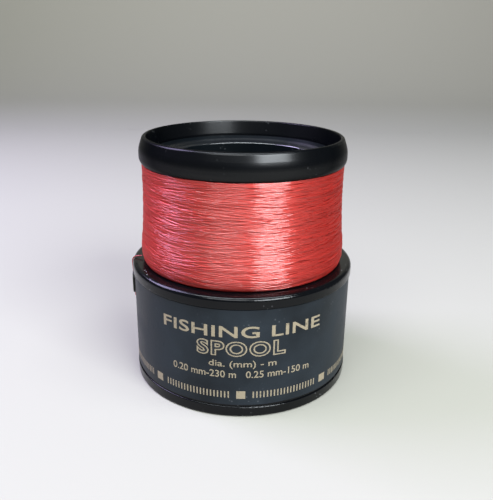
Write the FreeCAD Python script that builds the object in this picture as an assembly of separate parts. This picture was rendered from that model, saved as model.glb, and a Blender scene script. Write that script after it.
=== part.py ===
"""Spare spool of a spinning reel, filled with monofilament line.

Units are millimetres. The spool's axis is Z and it stands on the open end of its skirt: the
origin is the centre of that end, +Z points to the front lip, and -Y is the side that the printed
label faces. Angles run anticlockwise about Z from +X, in degrees.
"""

import FreeCAD
import Part

import math
import os

# ---------------------------------------------------------------- overall sizes
lip_radius = 24.0            # widest point of the front lip
line_depth = 3.2             # from the lip's widest point down to the bare drum
winding_width = 22.35        # drum length between the rear flange and the lip ring
skirt_step = 2.1             # the skirt stands this far outside the lip
skirt_height = 26.2          # open end up to the underside of the rear flange
flange_thickness = 2.65

# ---------------------------------------------------------------- skirt
skirt_wall = 1.3
skirt_inner_round = 0.9      # inside, under the flange
flange_lower_round = 0.25
flange_overhang = 0.45       # the flange's bead outside the skirt's wall
flange_edge_round = 1.05
bead_overhang = 0.27         # the bead at the open end, outside the skirt's wall
bead_height = 2.6
bead_upper_round = 0.25
foot_round = 0.55
drum_seat_depth = 1.05       # the drum sits this deep in the flange
seat_clearance = 0.05

# ---------------------------------------------------------------- drum
drum_wall = 1.8
web_thickness = 2.0
knob_recess_depth = 6.6      # from the top of the drum's spigot down to the web
spigot_height = 2.0          # carries the lip ring
spigot_step = 0.9
screw_boss_radius = 2.2
screw_boss_height = 8.0
boss_overlap = 0.2           # how far the bosses sink into the drum's wall
rib_count = 6
rib_thickness = 1.2
rib_height = 3.2
casting_fillet = 0.6
web_fillet = 0.8
cup_foot_round = 1.0
edge_break = 0.3             # small bevels and rounds on turned edges
fine_edge = 0.2

# ---------------------------------------------------------------- front lip
lip_height = 7.1
lip_wall = 1.7               # at the lip's rolled top edge
lip_slope = 1.1              # the line side of the lip rises this much towards its edge
lip_lower_round = 2.0
lip_belly_height = 4.3       # where the belly starts to lean inwards, above the lip ring's foot
lip_belly_round = 6.0
lip_lean = 0.95              # from the belly in to the crest
lip_crest_round = 0.75
lip_crest_fall = 0.05        # across the crest, towards the inside
lip_inner_round = 1.2
lip_inner_height = 0.35      # where the inner slope ends, above the dished ring
retainer_width = 4.05        # the dished ring, from its inner edge to its outer edge
retainer_edge = 1.25         # its thickness at the outer edge
retainer_drop = 1.45         # how far its face falls towards the middle
retainer_cover = 1.65        # it covers this much of the lip ring's foot
retainer_lift = 0.2          # above the drum's spigot
retainer_sleeve_length = 3.1
retainer_face_round = 0.35
retainer_edge_round = 0.25
retainer_notch_width = 2.4
retainer_notch_depth = 0.9
fit_gap = 0.05               # parts screwed or slid together

# ---------------------------------------------------------------- label
label_thickness = 0.15
label_gap = 0.5              # bare skirt below the label
label_top_gap = 0.2
label_seam = 0.4
label_angle = 270.0

# ---------------------------------------------------------------- wound line
line_diameter = 0.25
tag_gap = 0.03               # the loose end clears what it crosses by this much
pack_front_fill = 0.55       # the pack's surface is this far inside the lip's widest point
pack_rear_swell = 0.8        # how much wider the pack is near the rear flange
pack_rear_height = 3.4       # where it is widest, above the flange
pack_rear_inset = 0.95       # how far it draws in again at the flange
pack_foot_round = 0.5
pack_rear_round = 2.4
pack_waist_round = 8.0
pack_waist = 0.62            # where the swelling ends, as a share of the winding width

# the loose end's route: degrees before its clip, and heights from the clip's top edge
tag_rise = 0.5               # it leaves the pack this far above the flange
tag_pack_sink = 0.25         # its start, outside the lip's radius
tag_turns = (2.8, 0.6, 0.1, 0.0, -0.1, -0.4)
tag_heights = (-1.6, -4.0)
tag_tail = 0.9               # past the clip's lower edge

# ---------------------------------------------------------------- ball bearing in the hub
bearing_bore = 7.0
bearing_outside = 11.0
bearing_width = 3.0
race_clearance = 0.25        # around the turning inner race
ball_diameter = 1.2
ball_count = 11
race_wall = 0.55
groove_play = 0.03
race_edge_round = 0.12
shield_thickness = 0.15
shield_gap = 0.06            # between the shields and the inner race
shield_inset = 0.12
cage_thickness = 0.4
cage_height = 1.5

# ---------------------------------------------------------------- drag stack, in the front of the hub
drag_bore_radius = 11.5
drag_bore_wall = 2.7
washer_play = 0.3            # between a washer's rim and the bore
washer_gap = 0.02            # between the faces of neighbours in the stack
felt_thickness = 0.8
washer_thickness = 1.0
pressure_thickness = 1.5
pressure_groove = (5.6, 8.6)  # inner and outer radius of the shallow ring in its face
pressure_groove_depth = 0.3
felt_hole_radius = 4.6
key_radius = 3.7             # round part of a keyed hole
key_flat = 3.05              # from the centre to each flat
ear_count = 4
ear_width = 3.0
ear_length = 1.1
ear_gap = 0.1
ear_root = 1.0               # how far an ear reaches back into its washer
retainer_wire = 1.0
retainer_play = 0.15
retainer_opening = 60.0      # gap between the wire ring's ends, in degrees
retainer_grip = 0.45         # how deep the wire sits in its groove
retainer_groove_gap = 0.05
retainer_tail = 2.2
drag_lead_in = 0.85
hub_shoulder = 1.2
hub_foot_radius = 10.5
hub_foot_step = 2.0

# ---------------------------------------------------------------- click ratchet, under the hub
ratchet_height = 3.0
ratchet_radius = 10.2
ratchet_bore_radius = 6.2
tooth_count = 40
tooth_depth = 0.6
ratchet_lip = 0.8            # its flange over the bearing's outer race
ratchet_lip_reach = 0.1      # inside that race's own inner edge
tooth_half_pitch = 0.62      # half a notch's width at the mouth, as a share of the pitch
ratchet_screw_circle = 8.4

# ---------------------------------------------------------------- screws
screw_radius = 0.9
screw_gap = 0.1
screw_fit = 0.02
screw_hole_extra = 0.5       # below the screw's end
screw_head_radius = 1.7
screw_head_height = 1.1
screw_grip = 4.6             # shank length beyond the piece it holds down
ratchet_screw_grip = 2.9
screw_slot_width = 0.45
screw_slot_depth = 0.5
screw_count = 3

# ---------------------------------------------------------------- line clip on the skirt
clip_angle = 182.4
clip_plate_height = 5.7
clip_plate_width = 6.6
clip_plate_thickness = 0.55
clip_corner_round = 2.2
clip_edge_round = 0.2
clip_drop = 1.0              # below the flange
clip_rest_gap = 0.03         # between the plate and the label
clip_post_radius = 1.0
clip_post_gap = 0.1
clip_post_tail = 0.25        # the post's end past its push washer
clip_lift = 0.5              # how far the plate can be pulled out
clip_lift_steps = 4          # cuts that clear the line's way while it lifts
clip_line_offset = 1.4       # the line runs this far beside the post
clip_groove_gap = 0.07
clip_pocket_depth = 0.5
clip_pocket_play = 0.15      # round the leaf
clip_pocket_corner = 0.4
leaf_thickness = 0.2
leaf_width = 4.0
leaf_length = 6.2
leaf_bow = 0.75
leaf_gap = 0.02              # between the leaf's ends and the pocket
push_washer_radius = 1.75
push_washer_thickness = 0.35

cut_over = 1.0               # how far a cutting tool reaches past what it cuts

# ---------------------------------------------------------------- places worked out from the sizes
drum_radius = lip_radius - line_depth
drum_inner_radius = drum_radius - drum_wall
skirt_radius = lip_radius + skirt_step
skirt_inner_radius = skirt_radius - skirt_wall
flange_radius = skirt_radius + flange_overhang
flange_top = skirt_height + flange_thickness
drum_foot = flange_top - drum_seat_depth
lip_foot = flange_top + winding_width
lip_top = lip_foot + lip_height
spigot_top = lip_foot + spigot_height
spigot_radius = drum_radius - spigot_step
web_top = spigot_top - knob_recess_depth
web_bottom = web_top - web_thickness

stack_height = 3 * felt_thickness + 2 * washer_thickness + pressure_thickness + 6 * washer_gap
wire_seat = web_top - drag_lead_in - retainer_wire
drag_floor = wire_seat - retainer_play - stack_height
bearing_top = drag_floor - hub_shoulder
hub_bottom = bearing_top - bearing_width
bearing_seat_radius = bearing_outside / 2
bore_radius = bearing_bore / 2
shaft_way_radius = bore_radius + race_wall + race_clearance
cup_radius = drag_bore_radius + drag_bore_wall
cup_bottom = hub_bottom + hub_foot_step

screw_circle = drum_inner_radius - screw_boss_radius + boss_overlap
flange_bore_radius = screw_circle - screw_head_radius - web_fillet

label_bottom = bead_height + label_gap
label_top = skirt_height - label_top_gap
label_radius = skirt_radius + label_thickness

retainer_outer_radius = spigot_radius + retainer_cover
retainer_inner_radius = retainer_outer_radius - retainer_width
retainer_seat = spigot_top + retainer_lift
retainer_top = retainer_seat + retainer_edge

clip_top = skirt_height - clip_drop
clip_middle = clip_top - clip_plate_height / 2
pocket_radius = skirt_inner_radius + clip_pocket_depth
leaf_seat = pocket_radius - leaf_gap - leaf_bow - leaf_thickness - leaf_gap / 2

Z_AXIS = FreeCAD.Vector(0, 0, 1)
CENTRE = FreeCAD.Vector(0, 0, 0)


# ---------------------------------------------------------------- helpers
def at(radius, angle, z):
    """The point at this radius, angle in degrees and height."""
    turn = math.radians(angle)
    return FreeCAD.Vector(radius * math.cos(turn), radius * math.sin(turn), z)


def rounded_wire(corners):
    """A closed wire through corners given as (x, z) or (x, z, round), in the XZ plane."""
    points = [FreeCAD.Vector(c[0], 0, c[1]) for c in corners]
    rounds = [c[2] if len(c) > 2 else 0.0 for c in corners]
    entries, exits, middles = [], [], []
    for i, corner in enumerate(points):
        back = (points[i - 1] - corner).normalize()
        ahead = (points[(i + 1) % len(points)] - corner).normalize()
        half = back.getAngle(ahead) / 2
        if rounds[i] <= 0:
            entries.append(corner)
            exits.append(corner)
            middles.append(None)
            continue
        reach = rounds[i] / math.tan(half)
        bisector = (back + ahead).normalize()
        centre = corner + bisector * (rounds[i] / math.sin(half))
        entries.append(corner + back * reach)
        exits.append(corner + ahead * reach)
        middles.append(centre - bisector * rounds[i])
    edges = []
    for i in range(len(points)):
        if middles[i] is not None:
            edges.append(Part.Arc(entries[i], middles[i], exits[i]).toShape())
        following = entries[(i + 1) % len(points)]
        if (following - exits[i]).Length > 1e-6:
            edges.append(Part.LineSegment(exits[i], following).toShape())
    return Part.Wire(edges)


def turned(corners):
    """The solid that an outline of (radius, z[, round]) corners sweeps about the spool's axis."""
    return Part.Face(rounded_wire(corners)).revolve(CENTRE, Z_AXIS, 360)


def ring(inner, outer, bottom, top, edge=0.0):
    return turned([(inner, bottom, edge), (outer, bottom, edge), (outer, top, edge), (inner, top, edge)])


def disc(radius, bottom, top, x=0.0, y=0.0):
    return Part.makeCylinder(radius, top - bottom, FreeCAD.Vector(x, y, bottom), Z_AXIS)


def around(shape, count, start=0.0):
    """Copies of a shape spaced evenly about the axis."""
    copies = []
    for i in range(count):
        copy = shape.copy()
        copy.rotate(CENTRE, Z_AXIS, start + 360.0 * i / count)
        copies.append(copy)
    return copies


def on_clip_side(shape):
    """Turns a shape that was built towards +X to where the line clip is."""
    turned_shape = shape.copy()
    turned_shape.rotate(CENTRE, Z_AXIS, clip_angle)
    return turned_shape


def rounded_block(depth, width, height, corner, x, z):
    """A block that reaches outwards along X, with rounded corners in the YZ plane."""
    side, top = width / 2, height / 2
    flat = rounded_wire([(-side, -top, corner), (side, -top, corner),
                         (side, top, corner), (-side, top, corner)])
    flat.rotate(CENTRE, Z_AXIS, 90)
    block = Part.Face(flat).extrude(FreeCAD.Vector(depth, 0, 0))
    block.translate(FreeCAD.Vector(x, 0, z))
    return block


def smooth_path(points, share=0.45):
    """Straight runs joined by tangent arcs, each as large as the shorter run beside it allows."""
    edges, radii, last = [], [], points[0]
    for i in range(1, len(points) - 1):
        back = points[i - 1] - points[i]
        ahead = points[i + 1] - points[i]
        reach = share * min(back.Length, ahead.Length)
        turn = math.pi - back.getAngle(ahead)
        radius = reach / math.tan(turn / 2)
        back.normalize()
        ahead.normalize()
        start, end = points[i] + back * reach, points[i] + ahead * reach
        bisector = (back + ahead).normalize()
        centre = points[i] + bisector * (radius / math.cos(turn / 2))
        edges.append(Part.LineSegment(last, start).toShape())
        edges.append(Part.Arc(start, centre - bisector * radius, end).toShape())
        radii.append(radius)
        last = end
    edges.append(Part.LineSegment(last, points[-1]).toShape())
    return Part.Wire(edges), radii


# ---------------------------------------------------------------- casing
def skirt():
    """Rear flange and skirt, one shell that slips over the reel's rotor."""
    shell = turned([
        (skirt_inner_radius, 0, fine_edge),
        (skirt_radius + bead_overhang, 0, foot_round),
        (skirt_radius + bead_overhang, bead_height, bead_upper_round),
        (skirt_radius, bead_height),
        (skirt_radius, skirt_height),
        (flange_radius, skirt_height, flange_lower_round),
        (flange_radius, flange_top, flange_edge_round),
        (drum_radius + seat_clearance, flange_top),
        (drum_radius + seat_clearance, drum_foot),
        (flange_bore_radius, drum_foot),
        (flange_bore_radius, skirt_height, edge_break),
        (skirt_inner_radius, skirt_height, skirt_inner_round),
    ])
    screw_hole = disc(screw_radius + screw_gap, skirt_height - cut_over, drum_foot + cut_over, screw_circle)
    post_hole = Part.makeCylinder(
        clip_post_radius + clip_post_gap, 4 * skirt_wall,
        FreeCAD.Vector(skirt_inner_radius - skirt_wall, 0, clip_middle), FreeCAD.Vector(1, 0, 0))
    pocket = rounded_block(2 * skirt_wall, leaf_width + 2 * clip_pocket_play,
                           leaf_length + 2 * clip_pocket_play, clip_pocket_corner,
                           pocket_radius - 2 * skirt_wall, clip_middle)
    pocket = pocket.common(disc(pocket_radius, 0, lip_top))
    for tool in around(screw_hole, screw_count, 90) + [on_clip_side(post_hole), on_clip_side(pocket)]:
        shell = shell.cut(tool)
    return shell


def drum():
    """The drum that the line is wound on, with its web and the hub in one casting."""
    casting = turned([
        (drum_inner_radius, drum_foot),
        (drum_radius, drum_foot),
        (drum_radius, lip_foot),
        (spigot_radius, lip_foot),
        (spigot_radius, spigot_top, fine_edge),
        (drum_inner_radius, spigot_top),
        (drum_inner_radius, web_top, web_fillet),
        (drag_bore_radius, web_top, edge_break),
        (drag_bore_radius, drag_floor),
        (shaft_way_radius, drag_floor),
        (shaft_way_radius, bearing_top),
        (bearing_seat_radius, bearing_top),
        (bearing_seat_radius, hub_bottom),
        (hub_foot_radius, hub_bottom, edge_break),
        (hub_foot_radius, cup_bottom),
        (cup_radius, cup_bottom, cup_foot_round),
        (cup_radius, web_bottom, casting_fillet),
        (drum_inner_radius, web_bottom, casting_fillet),
    ])
    boss = disc(screw_boss_radius, drum_foot, drum_foot + screw_boss_height, screw_circle)
    boss = boss.common(disc(drum_radius - drum_wall / 2, 0, lip_top))
    rib_sink = edge_break
    rib = Part.makeBox(drum_inner_radius - cup_radius + 2 * rib_sink, rib_thickness, rib_height + rib_sink,
                       FreeCAD.Vector(cup_radius - rib_sink, -rib_thickness / 2, web_bottom - rib_height))
    for piece in around(boss, screw_count, 90) + around(rib, rib_count, 60):
        casting = casting.fuse(piece)
    ear_end = drag_bore_radius - washer_play + ear_length + ear_gap
    ear_slot = Part.makeBox(ear_length + ear_root, ear_width + 2 * ear_gap, web_top - ear_floor() + cut_over,
                            FreeCAD.Vector(ear_end - ear_length - ear_root, -ear_width / 2 - ear_gap,
                                           ear_floor()))
    groove = ring(drag_bore_radius - fine_edge, drag_bore_radius + retainer_grip + retainer_groove_gap,
                  wire_seat - retainer_groove_gap, wire_seat + retainer_wire + retainer_groove_gap)
    boss_hole = disc(screw_radius, drum_foot - cut_over, drum_foot + screw_grip + screw_hole_extra,
                     screw_circle)
    foot_hole = disc(screw_radius, hub_bottom - cut_over, hub_bottom + ratchet_screw_grip + screw_hole_extra,
                     ratchet_screw_circle)
    tools = [groove] + around(ear_slot, ear_count, 45)
    tools += around(boss_hole, screw_count, 90) + around(foot_hole, screw_count, 30)
    for tool in tools:
        casting = casting.cut(tool)
    return casting.removeSplitter()


def front_lip_ring():
    """The rounded lip that the line slides over as it is cast."""
    return turned([
        (spigot_radius + fit_gap, lip_foot),
        (drum_radius, lip_foot),
        (lip_radius, lip_foot + lip_slope, lip_lower_round),
        (lip_radius, lip_foot + lip_belly_height, lip_belly_round),
        (lip_radius - lip_lean, lip_top, lip_crest_round),
        (lip_radius - lip_wall, lip_top - lip_crest_fall, edge_break),
        (retainer_outer_radius + fit_gap, retainer_top + lip_inner_height, lip_inner_round),
        (retainer_outer_radius + fit_gap, retainer_seat),
        (spigot_radius + fit_gap, retainer_seat),
    ])


def lip_retaining_ring():
    """Dished ring that screws into the drum's mouth and holds the lip ring down."""
    sleeve = drum_inner_radius - fit_gap
    dished = turned([
        (retainer_inner_radius, retainer_seat - retainer_sleeve_length),
        (sleeve, retainer_seat - retainer_sleeve_length, edge_break),
        (sleeve, retainer_seat),
        (retainer_outer_radius, retainer_seat),
        (retainer_outer_radius, retainer_top, retainer_edge_round),
        (retainer_inner_radius, retainer_top - retainer_drop, retainer_face_round),
    ])
    notch = Part.makeBox(retainer_notch_depth + cut_over, retainer_notch_width, 2 * retainer_edge,
                         FreeCAD.Vector(retainer_inner_radius - cut_over, -retainer_notch_width / 2,
                                        retainer_top - retainer_drop - retainer_edge))
    for tool in around(notch, 2, 0):
        dished = dished.cut(tool)
    return dished


def label_band():
    """The printed foil round the skirt, with its seam at the back and a hole for the clip's post."""
    band = ring(skirt_radius, label_radius, label_bottom, label_top)
    seam = Part.makeBox(2 * skirt_wall, label_seam, skirt_height,
                        FreeCAD.Vector(skirt_radius - skirt_wall, -label_seam / 2, 0))
    seam.rotate(CENTRE, Z_AXIS, label_angle + 180)
    post_hole = Part.makeCylinder(
        clip_post_radius + clip_post_gap, 4 * skirt_wall,
        FreeCAD.Vector(skirt_inner_radius, 0, clip_middle), FreeCAD.Vector(1, 0, 0))
    return band.cut(seam).cut(on_clip_side(post_hole))


# ---------------------------------------------------------------- line
def line_pack():
    """All the turns of line on the drum, as one closed solid that fills up to the lip."""
    front = lip_radius - pack_front_fill
    rear = front + pack_rear_swell
    pack = turned([
        (drum_radius, flange_top),
        (rear - pack_rear_inset, flange_top, pack_foot_round),
        (rear, flange_top + pack_rear_height, pack_rear_round),
        (front, flange_top + pack_waist * winding_width, pack_waist_round),
        (front, lip_foot + lip_slope + cut_over),
        (drum_radius, lip_foot + lip_slope + cut_over),
    ])
    return pack.cut(front_lip_ring()).cut(disc(drum_radius, flange_top, lip_top))


def tag_route():
    """Where the loose end runs: off the pack, over the flange's edge and down behind the clip."""
    half = line_diameter / 2
    over = flange_top + half + tag_gap
    outside = flange_radius + half + tag_gap
    behind = label_radius + half + tag_gap
    beside = clip_angle + math.degrees(clip_line_offset / label_radius)
    places = [
        (lip_radius + tag_pack_sink, over + tag_rise),
        (outside, over),
        (outside, skirt_height),
        (behind, clip_top + tag_heights[0]),
        (behind, clip_top + tag_heights[1]),
        (behind, clip_top - clip_plate_height - tag_tail),
    ]
    return [at(radius, beside + turn, z) for (radius, z), turn in zip(places, tag_turns)]


def along_tag(radius):
    """A round tube of this radius along the loose end's route."""
    path, radii = smooth_path(tag_route())
    start = path.Edges[0]
    circle = Part.Circle(start.valueAt(start.FirstParameter), start.tangentAt(start.FirstParameter), radius)
    tube = path.makePipeShell([Part.Wire([circle.toShape()])], True, True)
    return tube, path.Length, radii


def line_tag_end():
    """The last stretch of line, from the pack to its cut end below the clip."""
    half = line_diameter / 2
    tube, length, radii = along_tag(half)
    print("tag end: length %.2f, arc radii %s" % (length, ", ".join("%.2f" % r for r in radii)))
    print("tag end: volume %.4f, section times length %.4f" % (tube.Volume, math.pi * half ** 2 * length))
    return tube


# ---------------------------------------------------------------- line clip
def line_clip():
    """The clip's plate, which pinches the line against the skirt, and its post."""
    seat = label_radius + clip_rest_gap
    face = seat + clip_plate_thickness
    plate = ring(seat, face, clip_top - clip_plate_height, clip_top)
    outline = rounded_block(4 * skirt_wall, clip_plate_width, clip_plate_height, clip_corner_round,
                            seat - 2 * skirt_wall, clip_middle)
    plate = plate.common(outline)
    outer_edges = [edge for edge in plate.Edges
                   if min(math.hypot(v.Point.x, v.Point.y) for v in edge.Vertexes) > face - 0.01]
    plate = plate.makeFillet(clip_edge_round, outer_edges)
    post_end = leaf_seat - push_washer_thickness - clip_post_tail
    post = Part.makeCylinder(clip_post_radius, seat + clip_edge_round - post_end,
                             FreeCAD.Vector(post_end, 0, clip_middle), FreeCAD.Vector(1, 0, 0))
    clip = on_clip_side(plate.fuse(post).removeSplitter())
    groove, _, _ = along_tag(line_diameter / 2 + clip_groove_gap)
    inwards = at(-clip_lift / clip_lift_steps, clip_angle, 0)
    for _ in range(clip_lift_steps + 1):
        clip = clip.cut(groove)
        groove.translate(inwards)
    return clip


def line_clip_spring():
    """Bowed leaf inside the skirt: its ends bear on the wall, its middle pulls the post inwards."""
    half = leaf_length / 2
    outer = pocket_radius - leaf_gap
    inside = outer - leaf_thickness
    wall = Part.Wire([
        Part.Arc(FreeCAD.Vector(outer, 0, -half), FreeCAD.Vector(outer - leaf_bow, 0, 0),
                 FreeCAD.Vector(outer, 0, half)).toShape(),
        Part.LineSegment(FreeCAD.Vector(outer, 0, half), FreeCAD.Vector(inside, 0, half)).toShape(),
        Part.Arc(FreeCAD.Vector(inside, 0, half), FreeCAD.Vector(inside - leaf_bow, 0, 0),
                 FreeCAD.Vector(inside, 0, -half)).toShape(),
        Part.LineSegment(FreeCAD.Vector(inside, 0, -half), FreeCAD.Vector(outer, 0, -half)).toShape(),
    ])
    leaf = Part.Face(wall).extrude(FreeCAD.Vector(0, leaf_width, 0))
    leaf.translate(FreeCAD.Vector(0, -leaf_width / 2, clip_middle))
    corners = disc(pocket_radius - leaf_gap / 2, 0, lip_top)
    hole = Part.makeCylinder(clip_post_radius + clip_post_gap, 4 * leaf_bow,
                             FreeCAD.Vector(outer - 3 * leaf_bow, 0, clip_middle), FreeCAD.Vector(1, 0, 0))
    return on_clip_side(leaf.common(corners).cut(hole))


def line_clip_push_washer():
    """Pressed on the post's inner end, over the leaf."""
    outwards = FreeCAD.Vector(1, 0, 0)
    washer = Part.makeCylinder(push_washer_radius, push_washer_thickness,
                               FreeCAD.Vector(leaf_seat - push_washer_thickness, 0, clip_middle), outwards)
    hole = Part.makeCylinder(clip_post_radius, 4 * push_washer_thickness,
                             FreeCAD.Vector(leaf_seat - 2 * push_washer_thickness, 0, clip_middle), outwards)
    return on_clip_side(washer.cut(hole))


# ---------------------------------------------------------------- ball bearing
def bearing_middle():
    return bearing_top - bearing_width / 2


def pitch_radius():
    return (bearing_bore + bearing_outside) / 4


def race_groove():
    """The ring of space that the balls run in."""
    groove = Part.makeTorus(pitch_radius(), ball_diameter / 2 + groove_play)
    groove.translate(FreeCAD.Vector(0, 0, bearing_middle()))
    return groove


def bearing_outer_race():
    race = ring(bearing_seat_radius - race_wall, bearing_seat_radius, hub_bottom, bearing_top,
                race_edge_round)
    return race.cut(race_groove())


def bearing_inner_race():
    race = ring(bore_radius, bore_radius + race_wall, hub_bottom, bearing_top, race_edge_round)
    return race.cut(race_groove())


def bearing_balls():
    ball = Part.makeSphere(ball_diameter / 2, FreeCAD.Vector(pitch_radius(), 0, bearing_middle()))
    return Part.makeCompound(around(ball, ball_count))


def bearing_cage():
    """A band between the races with a round pocket for each ball."""
    band = ring(pitch_radius() - cage_thickness / 2, pitch_radius() + cage_thickness / 2,
                bearing_middle() - cage_height / 2, bearing_middle() + cage_height / 2)
    pocket = Part.makeCylinder(ball_diameter / 2 + groove_play, 2 * cage_thickness,
                               FreeCAD.Vector(pitch_radius() - cage_thickness, 0, bearing_middle()),
                               FreeCAD.Vector(1, 0, 0))
    for tool in around(pocket, ball_count):
        band = band.cut(tool)
    return band


def bearing_shields():
    inner = bore_radius + race_wall + shield_gap
    outer = bearing_seat_radius - race_wall
    low = hub_bottom + shield_inset
    high = bearing_top - shield_inset - shield_thickness
    return Part.makeCompound([ring(inner, outer, z, z + shield_thickness) for z in (low, high)])


# ---------------------------------------------------------------- drag stack
def stack_level(felts, washers):
    """Height of the next piece in the stack, above so many felts and steel washers."""
    gaps = (felts + washers + 1) * washer_gap
    return drag_floor + felts * felt_thickness + washers * washer_thickness + gaps


def ear_floor():
    """Bottom of the ear slots: the underside of the eared washer."""
    return stack_level(2, 1) - ear_gap


def felt(level):
    return ring(felt_hole_radius, drag_bore_radius - washer_play, level, level + felt_thickness)


def keyed(level, thickness):
    """A washer whose hole has two flats, so that it turns with the reel's shaft."""
    plate = disc(drag_bore_radius - washer_play, level, level + thickness)
    hole = disc(key_radius, level - cut_over, level + thickness + cut_over)
    between_flats = Part.makeBox(2 * key_flat, 4 * key_radius, thickness + 2 * cut_over,
                                 FreeCAD.Vector(-key_flat, -2 * key_radius, level - cut_over))
    return plate.cut(hole.common(between_flats))


def rear_felt_washer():
    return felt(stack_level(0, 0))


def keyed_washer():
    return keyed(stack_level(1, 0), washer_thickness)


def middle_felt_washer():
    return felt(stack_level(1, 1))


def eared_washer():
    """A washer whose ears ride in the drum's slots, so that it turns with the spool."""
    level = stack_level(2, 1)
    rim = drag_bore_radius - washer_play
    plate = disc(rim, level, level + washer_thickness)
    ear = Part.makeBox(ear_length + ear_root, ear_width, washer_thickness,
                       FreeCAD.Vector(rim - ear_root, -ear_width / 2, level))
    for piece in around(ear, ear_count, 45):
        plate = plate.fuse(piece)
    hole = disc(felt_hole_radius, level - cut_over, level + washer_thickness + cut_over)
    return plate.removeSplitter().cut(hole)


def front_felt_washer():
    return felt(stack_level(2, 2))


def pressure_washer():
    """The thick keyed washer that the drag knob presses on."""
    level = stack_level(3, 2)
    face = level + pressure_thickness
    groove = ring(pressure_groove[0], pressure_groove[1], face - pressure_groove_depth, face + cut_over)
    return keyed(level, pressure_thickness).cut(groove)


def washer_retaining_ring():
    """Sprung wire ring in the groove above the stack, with two inward tails to squeeze it by."""
    wire = retainer_wire / 2
    circle = drag_bore_radius + retainer_grip - wire
    height = wire_seat + wire
    first = retainer_opening / 2
    half_way = FreeCAD.Vector(-circle, 0, height)
    ends = []
    for side in (1, -1):
        end = at(circle, side * first, height)
        inward = at(circle - retainer_tail, side * first, height)
        ends.append((end, inward))
    edges = [Part.LineSegment(ends[0][1], ends[0][0]).toShape(),
             Part.Arc(ends[0][0], half_way, ends[1][0]).toShape(),
             Part.LineSegment(ends[1][0], ends[1][1]).toShape()]
    solid = None
    for edge in edges:
        start = edge.valueAt(edge.FirstParameter)
        section = Part.Circle(start, edge.tangentAt(edge.FirstParameter), wire).toShape()
        run = Part.Wire([edge]).makePipeShell([Part.Wire([section])], True, True)
        solid = run if solid is None else solid.fuse(run)
    for end, _ in ends:
        solid = solid.fuse(Part.makeSphere(wire, end))
    return solid


# ---------------------------------------------------------------- click ratchet and screws
def click_ratchet():
    """Toothed ring under the hub, for the reel's click spring. It also keeps the bearing in."""
    bottom = hub_bottom - ratchet_height
    body = ring(ratchet_bore_radius, ratchet_radius, bottom, hub_bottom, edge_break)
    lip = ring(bearing_seat_radius - race_wall - ratchet_lip_reach, ratchet_bore_radius + casting_fillet,
               hub_bottom - ratchet_lip, hub_bottom)
    body = body.fuse(lip)
    mouth = tooth_half_pitch * 2 * math.pi * ratchet_bore_radius / tooth_count
    start = bottom - cut_over
    notch = Part.Face(Part.makePolygon([
        FreeCAD.Vector(ratchet_bore_radius - tooth_depth, -mouth, start),
        FreeCAD.Vector(ratchet_bore_radius + tooth_depth, 0, start),
        FreeCAD.Vector(ratchet_bore_radius - tooth_depth, mouth, start),
        FreeCAD.Vector(ratchet_bore_radius - tooth_depth, -mouth, start),
    ])).extrude(FreeCAD.Vector(0, 0, ratchet_height - ratchet_lip + cut_over))
    body = body.cut(Part.makeCompound(around(notch, tooth_count)))
    shank_hole = disc(screw_radius + screw_gap, start, hub_bottom + cut_over, ratchet_screw_circle)
    head_hole = disc(screw_head_radius + screw_gap, start, bottom + screw_head_height, ratchet_screw_circle)
    for tool in around(shank_hole, screw_count, 30) + around(head_hole, screw_count, 30):
        body = body.cut(tool)
    return body.removeSplitter()


def screw(seat, grip, held, circle):
    """A cheese-head screw driven upwards: seat is the underside that its head bears on."""
    head = disc(screw_head_radius, seat - screw_head_height, seat, circle)
    shank = disc(screw_radius - screw_fit, seat - fine_edge, seat + held + grip, circle)
    slot = Part.makeBox(4 * screw_head_radius, screw_slot_width, screw_slot_depth + cut_over,
                        FreeCAD.Vector(circle - 2 * screw_head_radius, -screw_slot_width / 2,
                                       seat - screw_head_height - cut_over))
    return head.fuse(shank).cut(slot).removeSplitter()


def ratchet_screws():
    seat = hub_bottom - ratchet_height + screw_head_height
    one = screw(seat, ratchet_screw_grip, ratchet_height - screw_head_height, ratchet_screw_circle)
    return Part.makeCompound(around(one, screw_count, 30))


def skirt_screws():
    one = screw(skirt_height, screw_grip, drum_foot - skirt_height, screw_circle)
    return Part.makeCompound(around(one, screw_count, 90))


PIECES = [
    skirt, drum, front_lip_ring, lip_retaining_ring, label_band, line_pack, line_tag_end,
    line_clip, line_clip_spring, line_clip_push_washer,
    bearing_outer_race, bearing_inner_race, bearing_balls, bearing_cage, bearing_shields,
    rear_felt_washer, keyed_washer, middle_felt_washer, eared_washer, front_felt_washer,
    pressure_washer, washer_retaining_ring,
    click_ratchet, ratchet_screws, skirt_screws,
]


def main():
    os.makedirs("parts", exist_ok=True)
    for make in PIECES:
        shape = make()
        solids = shape.Solids
        state = "valid" if shape.isValid() else "NOT VALID"
        print("%-24s %2d solid(s) %10.2f mm3  %s" % (make.__name__, len(solids), shape.Volume, state))
        shape.exportStep("parts/%s.step" % make.__name__)


main()
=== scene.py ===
# %% [markdown]
# # A spare spool for a spinning reel
#
# The spool stands on the open end of its skirt. It is wound full with coral-red monofilament, and
# the loose end of the line goes over the rear flange to a small clip. The CAD model brings every
# part at its real size. This script gives each part its finish, lays the line on turn by turn, and
# prints the band round the skirt.

import math

import bmesh
import bpy
from mathutils import Matrix, Vector


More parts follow.
